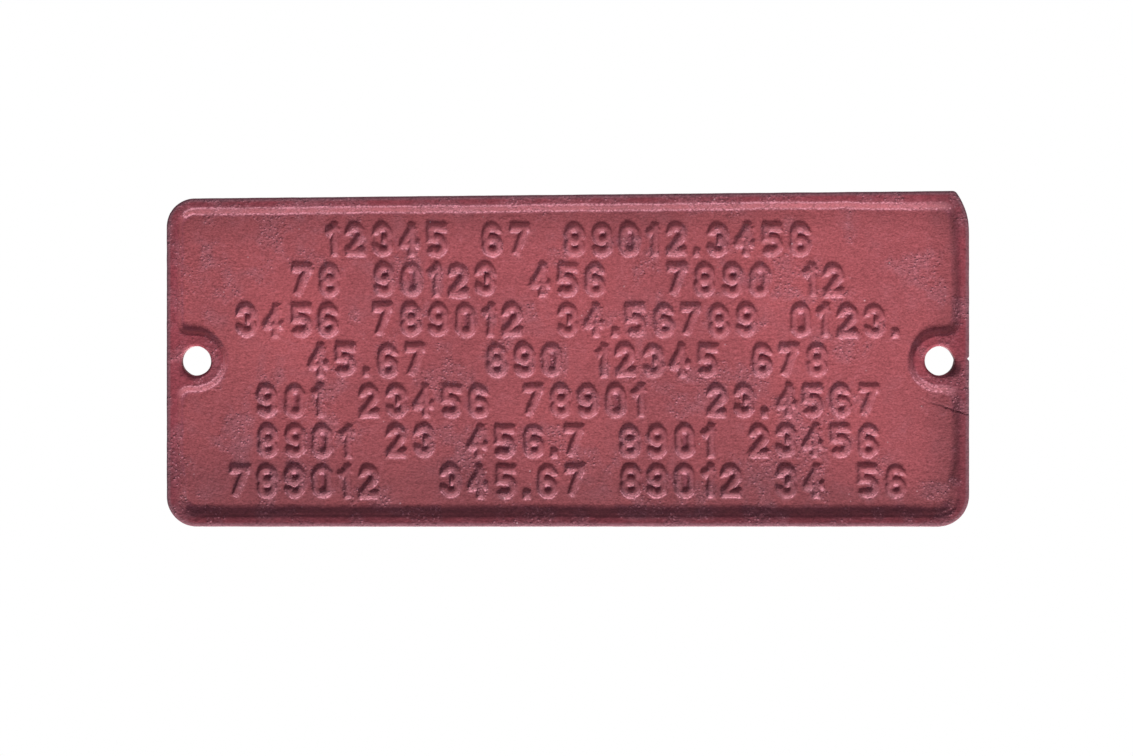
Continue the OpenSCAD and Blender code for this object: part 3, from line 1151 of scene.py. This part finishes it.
@dataclass
class CastPiece:
    """One closed piece of the casting, made of sheet blocks with their walls and seat."""

    name: str
    node: str
    slot: Slot
    blocks: list[Block]
    seat: float

    def build(self, material: bpy.types.Material) -> bpy.types.Object:
        """Makes the mesh, closes it and gives it its normals and finish.

        Args:
            material: Paint of the piece.

        Returns:
            The object, which rides on the plate and stands for its CAD node.
        """
        bm = bmesh.new()
        number = bm.verts.layers.int.new("number")
        is_skin = bm.faces.layers.int.new("is_skin")
        normal = bm.verts.layers.float_vector.new("skin_normal")
        skirts: dict[int, Skirt] = {}
        offset = 0
        for block in self.blocks:
            self._sheet(bm, block, offset)
            skirts.update({offset + key: skirt for key, skirt in block.skirts.items()})
            offset += block.places.shape[0] * block.places.shape[1]
        bmesh.ops.remove_doubles(bm, verts=bm.verts[:], dist=1e-7)
        for face in bm.faces:
            face[is_skin] = 1
        self._hang_walls(bm, number, normal, is_skin, skirts)
        bmesh.ops.recalc_face_normals(bm, faces=bm.faces[:])
        mesh = bpy.data.meshes.new(self.name)
        open_edges = sum(1 for edge in bm.edges if not edge.is_manifold)
        bm.to_mesh(mesh)
        bm.free()
        self._shade(mesh)
        piece = bpy.data.objects.new(self.name, mesh)
        bpy.context.scene.collection.objects.link(piece)
        mesh.materials.append(material)
        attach(piece, "root")
        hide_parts(self.node)
        log.info("%s: %d faces, %d open edges", self.name, len(mesh.polygons), open_edges)
        return piece

    def _sheet(self, bm: bmesh.types.BMesh, block: Block, offset: int) -> None:
        """Adds a block's sheet as a grid whose vertices move to their places."""
        across, up = block.cells
        traits = {
            name: bm.verts.layers.float.get(name) or bm.verts.layers.float.new(name)
            for name in block.traits
        }
        number = bm.verts.layers.int["number"]
        normal = bm.verts.layers.float_vector["skin_normal"]
        made = bmesh.ops.create_grid(bm, x_segments=across, y_segments=up, size=1.0)["verts"]
        places = (block.places * MM).reshape(-1, 3).tolist()
        normals = block.normals.reshape(-1, 3).tolist()
        values = [(layer, block.traits[name].reshape(-1).tolist()) for name, layer in traits.items()]
        for k, vertex in enumerate(made):
            vertex.co = places[k]
            vertex[number] = offset + k
            vertex[normal] = normals[k]
            for layer, value in values:
                vertex[layer] = value[k]
        if block.gaps:
            width = across + 1
            doomed = []
            for face in {f for v in made for f in v.link_faces}:
                corner = min(v[number] for v in face.verts) - offset
                j, i = divmod(corner, width)
                if any(i0 <= i < i1 and j0 <= j < j1 for i0, i1, j0, j1 in block.gaps):
                    doomed.append(face)
            bmesh.ops.delete(bm, geom=doomed, context="FACES")

    def _hang_walls(
        self,
        bm: bmesh.types.BMesh,
        number: bmesh.types.BMLayerItem,
        normal: bmesh.types.BMLayerItem,
        is_skin: bmesh.types.BMLayerItem,
        skirts: dict[int, Skirt],
    ) -> None:
        """Extrudes the sheet's borders ring by ring down to the seat, and closes the seat.

        Args:
            bm: The mesh so far.
            number: Layer with each vertex's number.
            normal: Layer with each vertex's normal.
            is_skin: Layer that marks faces that show.
            skirts: Rings of places and normals, by vertex number.
        """
        edges = [edge for edge in bm.edges if edge.is_boundary]
        steps = max((len(places) for places, _ in skirts.values()), default=1)
        starts = {v[number]: v.co.copy() for edge in edges for v in edge.verts}
        for step in range(steps):
            made = bmesh.ops.extrude_edge_only(bm, edges=edges)["geom"]
            for vertex in (g for g in made if isinstance(g, bmesh.types.BMVert)):
                key = vertex[number]
                if key in skirts:
                    places, normals = skirts[key]
                    vertex.co = (places[step] * MM).tolist()
                    vertex[normal] = normals[step].tolist()
                else:
                    down = (step + 1) / steps
                    vertex.co.y = starts[key].y * (1 - down) - self.seat * MM * down
            for face in (g for g in made if isinstance(g, bmesh.types.BMFace)):
                face[is_skin] = int(all(v[number] in skirts for v in face.verts))
            edges = [g for g in made if isinstance(g, bmesh.types.BMEdge) and g.is_boundary]
        bmesh.ops.triangle_fill(bm, use_beauty=False, use_dissolve=False, edges=edges)

    def _shade(self, mesh: bpy.types.Mesh) -> None:
        """Sets the normals of what shows from the sheet, and leaves hidden walls flat."""
        vertex_normals = np.empty(len(mesh.vertices) * 3)
        mesh.attributes["skin_normal"].data.foreach_get("vector", vertex_normals)
        skin = np.empty(len(mesh.polygons), dtype=np.int32)
        mesh.attributes["is_skin"].data.foreach_get("value", skin)
        corner_vertex = np.empty(len(mesh.loops), dtype=np.int32)
        mesh.loops.foreach_get("vertex_index", corner_vertex)
        sizes = np.empty(len(mesh.polygons), dtype=np.int32)
        mesh.polygons.foreach_get("loop_total", sizes)
        flat = np.empty(len(mesh.polygons) * 3)
        mesh.polygons.foreach_get("normal", flat)
        flat = np.repeat(flat.reshape(-1, 3), sizes, axis=0)
        shown = np.repeat(skin, sizes)[:, None] > 0
        normals = np.where(shown, vertex_normals.reshape(-1, 3)[corner_vertex], flat)
        mesh.polygons.foreach_set("use_smooth", np.ones(len(mesh.polygons), dtype=bool))
        mesh.normals_split_custom_set(normals.tolist())
        for name in ("number", "is_skin", "skin_normal"):
            mesh.attributes.remove(mesh.attributes[name])


@dataclass
class Casting:
    """The whole plate, cut into a back and thirteen pieces of face."""

    plate: PlateSizes = field(default_factory=PlateSizes)
    grid: GridSizes = field(default_factory=GridSizes)
    seat: float = 3.0
    back_stride: int = 3
    back_rings: int = 8
    back_heights: Span = (1.6, 2.3)
    back_round: float = 0.7
    back_mouth: float = -0.8

    def pieces(self) -> list[CastPiece]:
        """Every piece of the casting."""
        relief = Relief(self.plate, Numerals())
        sheet = Sheet(self.plate, self.grid)
        face = CastFace(self.plate, relief, sheet, self.seat)
        last_level, last_column = sheet.x.shape[0] - 1, sheet.x.shape[1] - 1
        side = self.grid.end_cells
        low, high = sheet.hole_span()
        field_low = sheet.row_span(self.plate.rows)[0]
        field_high = sheet.row_span(1)[1]
        found = [self._back(sheet, relief)]
        full = (0, last_column)
        ends = {Side.LEFT: (0, side), Side.RIGHT: (last_column - side, last_column)}
        found.append(self._piece("rim_top", Slot.RIM, [face.block((field_high, last_level), full)]))
        found.append(self._piece("rim_bottom", Slot.RIM, [face.block((0, field_low), full)]))
        for end, columns in ends.items():
            word = end.name.lower()
            blocks = [face.block((field_low, low), columns), face.block((high, field_high), columns)]
            found.append(self._piece(f"rim_{word}", Slot.RIM, blocks))
            eye = BoltEye(end, sheet).block(face)
            found.append(self._piece(f"bolt_boss_{word}", Slot.RIM, [eye]))
        for row in range(1, self.plate.rows + 1):
            block = face.block(sheet.row_span(row), (side, last_column - side))
            found.append(self._piece(f"numeral_row_{row}", Slot.NUMERAL, [block]))
        return found

    def _piece(self, node: str, slot: Slot, blocks: list[Block]) -> CastPiece:
        """A piece of the face that stands for the CAD node of that name."""
        return CastPiece(f"cast_{node}", node, slot, blocks, self.seat)

    def _back(self, sheet: Sheet, relief: Relief) -> CastPiece:
        """The flat back with the lower half of the plate's edge."""
        step = self.back_stride
        x, z = sheet.x[::step, ::step], sheet.z[::step, ::step]
        grid = Block(*self._back_skin(relief, x, z))
        blocks = [grid]
        low, high = (level // step for level in sheet.hole_span())
        side = self.grid.end_cells // step
        last = x.shape[1] - 1
        grid.gaps = [(0, side, low, high), (last - side, last, low, high)]
        skirts = self._back_skirts(grid)
        grid.skirts = {j * (last + 1) + i: skirt for (j, i), skirt in skirts.items()}
        heights = [*self.back_heights, self.seat]
        for end in Side:
            eye = BoltEye(end, sheet, step, self.back_rings)
            eye_x, eye_z, angle = eye.plan()
            skin = self._back_skin(relief, eye_x, eye_z)
            # painted shade in the chipped mouth, on the back
            skin[2]["painted_shade"] = eye.painted_shade(angle, 2)
            blocks.append(eye.ringed(skin, angle, heights, self.back_mouth, skirts))
        return CastPiece("cast_back", "base_plate", Slot.FIELD, blocks, self.seat)

    def _back_skin(self, relief: Relief, x: Field, z: Field) -> Skin:
        """Places, normals and traits of the back, which is flat but for the mould's marks."""
        marks, depth = Grain(51, 16.0), 0.09
        hollow = depth * (marks(x, z) + 1) + 0.03 * (Grain(52, 3.4)(x, z) + 1)
        places = np.stack([x, -hollow, z], axis=2)
        fine = 1.5
        slope_x = (marks(x + fine, z) - marks(x - fine, z)) * depth / (2 * fine)
        slope_z = (marks(x, z + fine) - marks(x, z - fine)) * depth / (2 * fine)
        normals = np.stack([slope_x, np.ones(x.shape), slope_z], axis=2)
        normals /= np.linalg.norm(normals, axis=2, keepdims=True)
        traits = {name: np.zeros(x.shape) for name in TRAITS}
        # painted shade on the back's edge as on the front's
        traits["edge"] = traits["relief"] = relief.edge_shade(x, z)
        traits["shade_dark"] = relief.shade_dark(x, z)
        traits["burnt"] = relief.roughness(x, z)
        return places, normals, traits

    def _back_skirts(self, grid: Block) -> dict[tuple[int, int], Skirt]:
        """Rings of the back's rounded edge and of the outer wall up to the seat."""
        border = border_of(grid.places.shape)
        starts = np.array([grid.places[j, i] for j, i in border])
        edge = self.grid.edge
        back = -starts[:, 1]
        rings = round_rings(edge, back, self.back_round)
        rings += [(edge, 0 * back + height) for height in (*self.back_heights, self.seat)]
        return hung_skirt(border, starts, rings, self.plate)


class Value:
    """A shader socket on which Python's arithmetic adds Math nodes."""

    def __init__(self, nodes: "Nodes", socket: bpy.types.NodeSocket) -> None:
        """Wraps a socket of the given node tree."""
        self.nodes = nodes
        self.socket = socket

    def _math(self, operation: str, first: "Value | float", second: "Value | float") -> "Value":
        """Adds one Math node."""
        return self.nodes.value("Math", {"operation": operation}, [first, second])

    def __add__(self, other: "Value | float") -> "Value":
        """Sum."""
        return self._math("ADD", self, other)

    def __sub__(self, other: "Value | float") -> "Value":
        """Difference."""
        return self._math("SUBTRACT", self, other)

    def __rsub__(self, other: "Value | float") -> "Value":
        """Difference from a number."""
        return self._math("SUBTRACT", other, self)

    def __mul__(self, other: "Value | float") -> "Value":
        """Product."""
        return self._math("MULTIPLY", self, other)

    def __rmul__(self, other: "Value | float") -> "Value":
        """Product with a number."""
        return self._math("MULTIPLY", other, self)

    def __radd__(self, other: "Value | float") -> "Value":
        """Sum with a number."""
        return self._math("ADD", other, self)


class Nodes:
    """Builds the node tree of one material or world."""

    def __init__(self, tree: bpy.types.NodeTree) -> None:
        """Starts from an empty tree."""
        self.tree = tree
        tree.nodes.clear()

    def add(self, kind: str, settings: dict[str, object], inputs: dict | list) -> bpy.types.Node:
        """Adds a node.

        Args:
            kind: Node type without its ShaderNode prefix.
            settings: Properties, which are set first.
            inputs: Values or wrapped sockets, by socket name or number, or in order.

        Returns:
            The node.
        """
        node = self.tree.nodes.new("ShaderNode" + kind)
        for name, value in settings.items():
            setattr(node, name, value)
        pairs = inputs.items() if isinstance(inputs, dict) else enumerate(inputs)
        for key, value in pairs:
            if isinstance(value, Value):
                self.tree.links.new(value.socket, node.inputs[key])
            else:
                node.inputs[key].default_value = value
        return node

    def value(
        self, kind: str, settings: dict[str, object], inputs: dict | list, output: int | str = 0
    ) -> Value:
        """Adds a node and wraps one of its outputs."""
        return Value(self, self.add(kind, settings, inputs).outputs[output])

    def mixed(self, amount: Value | float, first: Value | Colour, second: Value | Colour) -> Value:
        """Mixes two colours."""
        pair = [c if isinstance(c, Value) else (*c, 1.0) for c in (first, second)]
        settings = {"data_type": "RGBA", "clamp_factor": True}
        return self.value("Mix", settings, {0: amount, 6: pair[0], 7: pair[1]}, 2)

    def tinted(self, amount: Value | float, colour: Value, tint: Colour) -> Value:
        """Multiplies a colour by a tint, as far as the amount says."""
        settings = {"data_type": "RGBA", "blend_type": "MULTIPLY", "clamp_factor": True}
        return self.value("Mix", settings, {0: amount, 6: colour, 7: (*tint, 1.0)}, 2)

    def lit(self, colour: Value, amount: Value) -> Value:
        """Multiplies a colour by an amount."""
        return self.value("VectorMath", {"operation": "SCALE"}, {0: colour, "Scale": amount})

    def noise(self, place: Value, pitch: float, detail: float, shift: float = 0.0) -> Value:
        """Noise of the given pitch in millimetres, from about 0.25 to 0.75."""
        moved = self.value("VectorMath", {"operation": "ADD"}, [place, (shift, shift, shift)])
        inputs = {"Vector": moved, "Scale": 1 / (pitch * MM), "Detail": detail, "Roughness": 0.6}
        return self.value("TexNoise", {}, inputs)

    def spots(self, place: Value, pitch: float, radius: float, shift: float = 0.0) -> Value:
        """Mask of round spots, one to each cell of the given pitch, in millimetres."""
        moved = self.value("VectorMath", {"operation": "ADD"}, [place, (shift, shift, shift)])
        inputs = {"Vector": moved, "Scale": 1 / (pitch * MM)}
        distance = self.value("TexVoronoi", {}, inputs, "Distance")
        return self.ramp(distance, radius / pitch, 0.3 * radius / pitch)

    def ramp(self, value: Value, start: float, end: float) -> Value:
        """Goes smoothly from 0 at start to 1 at end."""
        inputs = {"Value": value, "From Min": start, "From Max": end}
        return self.value("MapRange", {"interpolation_type": "SMOOTHSTEP"}, inputs)

    def trait(self, name: str) -> Value:
        """A number that the mesh carries for each vertex."""
        return self.value("Attribute", {"attribute_name": name}, {}, "Fac")


class PaintMasks:
    """The noises of the paint, and the masks that they cut from the traits of the mesh."""

    stretch: Place = (0.7, 1.0, 1.15)

    def __init__(self, nodes: Nodes) -> None:
        """Adds the noises and masks to a material's nodes."""
        self.place = nodes.value("TexCoord", {}, {}, "Object")
        self.drawn = nodes.value("VectorMath", {"operation": "MULTIPLY"}, [self.place, self.stretch])
        self.grain = nodes.noise(self.drawn, 1.0, 4.0)
        self.dust = nodes.noise(self.drawn, 0.55, 2.0, 0.53)
        self.patch = nodes.noise(self.place, 8.0, 5.0, 0.31)
        self.burnt = nodes.trait("burnt")
        near = self.patch - 0.5
        fine = self.dust - 0.5
        self.specks = nodes.spots(self.place, 5.2, 0.42, 0.41) * nodes.ramp(self.patch, 0.46, 0.6)
        pitted = nodes.ramp(self.burnt + self.patch, 0.6, 1.1)
        self.pits = nodes.spots(self.place, 3.1, 0.42, 0.23) * pitted
        clustered = nodes.ramp(0.5 * self.burnt + self.patch, 0.62, 0.95)
        self.lumps = nodes.spots(self.place, 1.5, 0.6, 0.67) * clustered
        self.stain = nodes.ramp(0.3 * self.burnt + self.patch + 1.1 * (self.grain - 0.5), 0.5, 0.95)
        drift = nodes.noise(self.place, 11.0, 2.0, 0.87)
        self.cloud = nodes.ramp(0.2 * self.burnt + drift + 0.3 * near, 0.5, 1.0)
        worn = nodes.ramp(nodes.trait("relief"), 0.55, 0.9)
        # rubbed crests, lightened most as painted highlights on slopes that face the lamp
        rub_and_highlight = nodes.ramp(nodes.trait("crest") + 1.2 * fine + 0.5 * near, 0.3, 0.8)
        self.rub_and_highlight = rub_and_highlight * (0.25 + 0.75 * worn)
        # painted highlight along the foot of slopes that face the lamp
        self.foot = nodes.ramp(nodes.trait("hollow") + 1.2 * fine, 0.35, 0.85)
        # mask of the painted shade in hollows and on the bottom rim's upward slope
        self.hollow_shade_mask = nodes.ramp(nodes.trait("hollow_and_ledge_shade") + 0.6 * near, 0.35, 1.0)


@dataclass(frozen=True)
class WornPaint:
    """Old oxide paint on cast iron: chalky, stained grey in patches, rubbed on the crests, with painted
    highlights and painted shade in its colour.
    """

    name: str
    fresh: Colour = (0.415, 0.095, 0.103)
    deep: Colour = (0.37, 0.086, 0.095)
    raised: Colour = (0.308, 0.058, 0.073)
    raised_span: tuple[float, float] = (0.3, 1.0)
    # grey of the stains, also the painted sheen on slopes that face the lamp
    chalk_and_sheen: Colour = (0.32, 0.118, 0.142)
    cloud: Colour = (0.38, 0.145, 0.17)
    # rubbed paint, also the colour of the painted highlights
    rubbed_and_highlight: Colour = (0.5, 0.2, 0.24)
    # colour of the painted shade in hollows and on the bottom rim's upward slope
    shade_dark: Colour = (0.17, 0.04, 0.062)
    # tint of the broad painted shade
    broad_shade_tint: Colour = (0.61, 0.67, 0.68)
    # tint of the painted shade on slopes turned away from the lamp
    slope: Colour = (0.74, 0.8, 0.84)
    # grey-purple of the painted shade on the outer edge
    edge_shade_colour: Colour = (0.214, 0.093, 0.109)
    speck: Colour = (0.74, 0.5, 0.52)
    # dark of the pits, also the colour of the painted shade
    pit_and_shade: Colour = (0.085, 0.02, 0.027)
    rough: float = 0.62
    sheen: float = 0.12
    grain_depth: float = 0.24

    def build(self) -> bpy.types.Material:
        """Makes the material.

        Returns:
            The material, whose wear follows the traits that each piece carries.
        """
        material = bpy.data.materials.new(self.name)
        material.use_nodes = True
        nodes = Nodes(material.node_tree)
        masks = PaintMasks(nodes)
        colour = self._colour(nodes, masks)
        coarse = nodes.noise(masks.drawn, 1.9, 4.0, 0.7)
        height = coarse * (0.8 + 0.8 * masks.burnt) + 0.8 * masks.grain
        height = height + 0.85 * masks.lumps + 0.15 * masks.specks - 0.3 * masks.pits
        inputs = {"Height": height, "Strength": 1.0, "Distance": self.grain_depth * MM}
        bump = nodes.value("Bump", {}, inputs, "Normal")
        roughness = self.rough + 0.1 * masks.stain + 0.3 * (masks.grain - 0.5) - 0.08 * masks.rub_and_highlight
        inputs = {"Base Color": colour, "Roughness": roughness, "Normal": bump}
        inputs["Specular IOR Level"] = self.sheen
        surface = nodes.value("BsdfPrincipled", {}, inputs, "BSDF")
        nodes.add("OutputMaterial", {}, {"Surface": surface})
        return material

    def _colour(self, nodes: Nodes, masks: PaintMasks) -> Value:
        """Layers the paint's own tones, the stains, the rubbed crests, and the painted highlights and painted
        shade.

        Args:
            nodes: Nodes of the material.
            masks: Noises and masks of the paint.

        Returns:
            The colour of the surface.
        """
        broad = nodes.noise(masks.place, 46.0, 3.0, 0.12)
        colour = nodes.mixed(nodes.ramp(broad, 0.35, 0.65), self.fresh, self.deep)
        colour = nodes.mixed(nodes.ramp(nodes.trait("relief"), *self.raised_span), colour, self.raised)
        colour = nodes.mixed(0.28 * masks.stain, colour, self.chalk_and_sheen)
        colour = nodes.mixed(0.34 * masks.cloud, colour, self.cloud)
        # painted sheen: paler, greyer paint on slopes that face the key lamp
        colour = nodes.mixed(0.35 * nodes.trait("under"), colour, self.chalk_and_sheen)
        # broad painted shade: darker low down and under the top rim
        colour = nodes.tinted(nodes.trait("shade_dark"), colour, self.broad_shade_tint)
        # painted shade: slopes turned away from the lamp are tinted darker
        colour = nodes.tinted(nodes.trait("slope_shade"), colour, self.slope)
        # painted shade in hollows and on the bottom rim's upward slope
        colour = nodes.mixed(0.5 * masks.hollow_shade_mask, colour, self.shade_dark)
        # rubbed crests, with painted highlights where they face the lamp
        colour = nodes.mixed(0.6 * masks.rub_and_highlight, colour, self.rubbed_and_highlight)
        # painted highlight along the foot of slopes that face the lamp
        colour = nodes.mixed(0.75 * masks.foot, colour, self.rubbed_and_highlight)
        # painted highlight on the sand lumps
        colour = nodes.mixed(0.4 * masks.lumps, colour, self.rubbed_and_highlight)
        # painted shade: a grey-purple line round the outer edge
        colour = nodes.mixed(0.8 * nodes.trait("edge"), colour, self.edge_shade_colour)
        speckle = 1.2 * (masks.grain - 0.5) + 1.5 * (masks.dust - 0.5)
        tone = 1.0 + (0.75 + 0.3 * masks.burnt) * speckle + 0.25 * (masks.patch - 0.5)
        colour = nodes.lit(colour, tone)
        colour = nodes.mixed(0.8 * masks.pits, colour, self.pit_and_shade)
        colour = nodes.mixed(0.6 * masks.specks, colour, self.speck)
        # painted shade: near black in the crack, in the chipped hole mouths and on the bottom rim's upward
        # slope
        return nodes.mixed(0.9 * nodes.trait("painted_shade"), colour, self.pit_and_shade)


@dataclass(frozen=True)
class Studio:
    """The plain floor, the soft lamps and the camera at the photograph's angle."""

    floor_depth: float = 2.0
    floor_radius: float = 6.0
    floor_colour: Colour = (0.86, 0.86, 0.86)
    floor_white: float = 0.85
    ambient: float = 0.225
    shade: Colour = (1.0, 0.93, 1.22)
    camera_place: Place = (-0.00055, -1.2552, -0.00657)
    lens: float = 104.5
    sensor: float = 36.0

    def build(self) -> None:
        """Makes everything round the plate."""
        self._floor()
        self._world()
        self._lamp("key_lamp", (0.36, -0.863, -1.653), (0.42, 0.42), 59.5)
        self._lamp("fill_lamp", (0.0, -0.08, 0.25), (0.4, 0.05), 0.19)
        self._lamp("back_lamp", (0.1, 1.3, -0.9), (0.7, 0.7), 27.0)
        self._camera()

    def _floor(self) -> None:
        """A wide pale disc far under the plate, which the camera sees as nearly white."""
        bm = bmesh.new()
        bmesh.ops.create_circle(bm, cap_ends=True, segments=96, radius=self.floor_radius)
        bmesh.ops.translate(bm, verts=bm.verts[:], vec=(0.0, 0.0, -self.floor_depth))
        mesh = bpy.data.meshes.new("floor")
        bm.to_mesh(mesh)
        bm.free()
        floor = bpy.data.objects.new("floor", mesh)
        bpy.context.scene.collection.objects.link(floor)
        material = bpy.data.materials.new("pale_floor")
        material.use_nodes = True
        nodes = Nodes(material.node_tree)
        pale = nodes.value("BsdfDiffuse", {}, {"Color": (*self.floor_colour, 1.0)}, "BSDF")
        white = nodes.value("Emission", {}, {"Strength": 1.0}, "Emission")
        seen = nodes.value("LightPath", {}, {}, "Is Camera Ray")
        shader = nodes.value("MixShader", {}, [self.floor_white * seen, pale, white])
        nodes.add("OutputMaterial", {}, {"Surface": shader})
        mesh.materials.append(material)

    def _world(self) -> None:
        """A world that looks white and lights the plate softly."""
        world = bpy.data.worlds.new("studio")
        world.use_nodes = True
        nodes = Nodes(world.node_tree)
        path = nodes.add("LightPath", {}, {})
        seen = [Value(nodes, path.outputs[f"Is {kind} Ray"]) for kind in ("Camera", "Glossy", "Transmission")]
        white = nodes.value("Math", {"operation": "MAXIMUM"}, [seen[0], seen[1]])
        white = nodes.value("Math", {"operation": "MAXIMUM"}, [white, seen[2]])
        strength = self.ambient + (1.0 - self.ambient) * white
        colour = nodes.mixed(white, self.shade, (1.0, 1.0, 1.0))
        light = nodes.value("Background", {}, {"Color": colour, "Strength": strength})
        nodes.add("OutputWorld", {}, {"Surface": light})
        bpy.context.scene.world = world

    def _lamp(self, name: str, place: Place, size: Span, power: float) -> None:
        """A soft lamp that looks at the middle of the plate and that the camera doesn't see.

        Args:
            name: Name of the lamp.
            place: Where it stands, in metres.
            size: Its width and height, in metres.
            power: Its power, in watts.
        """
        light = bpy.data.lights.new(name, "AREA")
        light.shape = "RECTANGLE"
        light.size, light.size_y = size
        light.energy = power
        lamp = bpy.data.objects.new(name, light)
        lamp.location = place
        towards = Vector((0.0, 0.0, 0.0)) - Vector(place)
        lamp.rotation_euler = towards.to_track_quat("-Z", "Y").to_euler()
        lamp.visible_camera = False
        bpy.context.scene.collection.objects.link(lamp)

    def _camera(self) -> None:
        """A camera straight in front of the plate."""
        data = bpy.data.cameras.new("camera")
        data.lens = self.lens
        data.sensor_width = self.sensor
        camera = bpy.data.objects.new("camera", data)
        camera.location = self.camera_place
        camera.rotation_euler = (math.pi / 2, 0.0, 0.0)
        bpy.context.scene.collection.objects.link(camera)
        bpy.context.scene.camera = camera


def main() -> None:
    logging.basicConfig(level=logging.INFO, format="%(message)s")
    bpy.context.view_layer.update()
    finishes = {slot: WornPaint(slot.value) for slot in Slot}
    # the numerals' paint lightens with height: painted light on their shaded upper flanks and crests
    finishes[Slot.NUMERAL] = replace(
        finishes[Slot.NUMERAL], raised=(0.405, 0.104, 0.118), raised_span=(0.1, 0.6)
    )
    paints = {slot: finish.build() for slot, finish in finishes.items()}
    pieces = [piece.build(paints[piece.slot]) for piece in Casting().pieces()]
    log.info("%d pieces in all", len(pieces))
    Studio().build()
    bpy.context.scene.view_settings.view_transform = "Standard"


if __name__ == "__main__":
    main()
